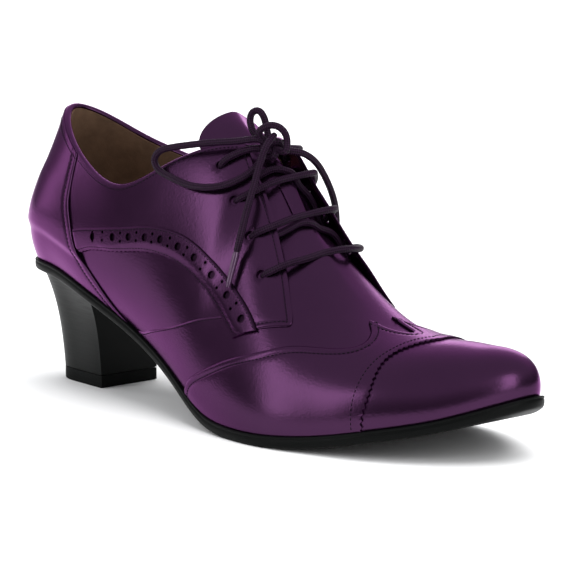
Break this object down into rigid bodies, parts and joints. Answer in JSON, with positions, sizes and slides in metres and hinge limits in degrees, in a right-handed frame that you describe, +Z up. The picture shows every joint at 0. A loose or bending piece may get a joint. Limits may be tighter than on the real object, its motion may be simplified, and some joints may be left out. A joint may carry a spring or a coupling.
{
  "type": "heeled oxford shoe",
  "caption": "Women's lace-up oxford shoe for the right foot, with a winged toe, punched side straps, a block heel and round laces tied in a bow.",
  "frame": {"origin": "centre of the heel's flat base", "axes": "+X towards the toe, +Y towards the inner side of the right foot, +Z up"},
  "size_m": [0.2541, 0.0848, 0.1146],
  "materials": {
    "leather": "glossy smooth purple leather with dark stitching",
    "lining": "matt tan pigskin lining and sock",
    "sole": "black resin sole, satin edge",
    "heel": "black moulded block heel, satin",
    "lift": "matt black rubber top lift",
    "lace": "round waxed purple cord"
  },
  "bodies": {
    "root": {"outsole": "sole", "heel": "heel", "top_lift": "lift", "insole": "lining", "upper": "leather", "tongue": "leather", "quarter_lateral": "leather", "quarter_medial": "leather", "brogue_strap_lateral": "leather", "brogue_strap_medial": "leather", "heel_counter": "leather", "wing_tip": "leather", "toe_cap": "leather", "lace_bar_1": "lace", "lace_bar_2": "lace", "lace_bar_3": "lace", "lace_top_lateral": "lace", "lace_top_medial": "lace", "lace_loop_long": "lace", "lace_loop_short": "lace", "lace_wrap": "lace", "lace_end_near": "lace", "lace_end_far": "lace", "aglet_near": "lace", "aglet_far": "lace", "lace_knot": "lace"}
  },
  "joints": []
}
